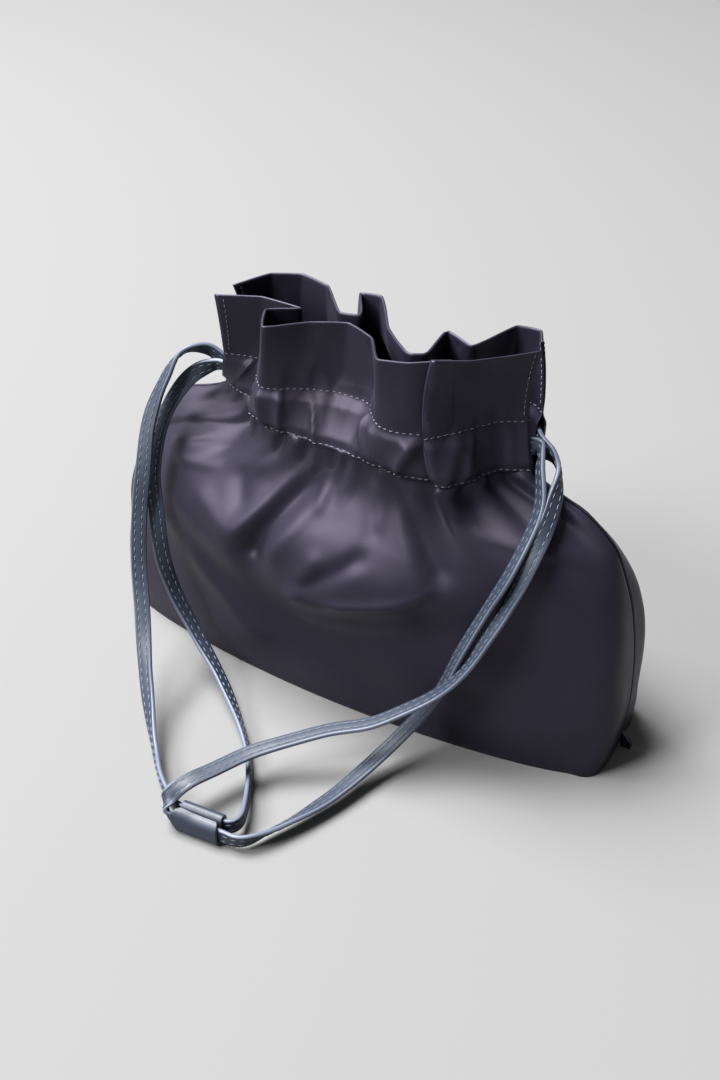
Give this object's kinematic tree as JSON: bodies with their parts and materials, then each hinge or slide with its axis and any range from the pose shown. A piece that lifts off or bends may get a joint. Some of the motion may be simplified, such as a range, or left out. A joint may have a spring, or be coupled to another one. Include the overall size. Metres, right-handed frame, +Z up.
{
  "type": "satin drawstring bag",
  "caption": "Soft satin drawstring bag on a boxed bottom, with a gathered ruffled collar and flat leather drawstraps joined by a rolled keeper.",
  "frame": {"origin": "centre of the bag's bottom, on the surface it stands on, leaving out the straps and their keeper", "axes": "+X along the bag to its right, +Y towards its back, +Z up; the drawstraps lie in front of it, on the -Y side"},
  "size_m": [0.2902, 0.2109, 0.1966],
  "materials": {
    "satin": "dark navy satin, soft sheen",
    "leather": "navy leather, half matt, with pale painted edges"
  },
  "bodies": {
    "root": {"base": "satin", "front_panel": "satin", "back_panel": "satin", "front_collar": "satin", "back_collar": "satin", "left_corner_tab": "satin", "right_corner_tab": "satin", "left_drawstrap": "leather", "right_drawstrap": "leather", "keeper": "leather"}
  },
  "joints": []
}
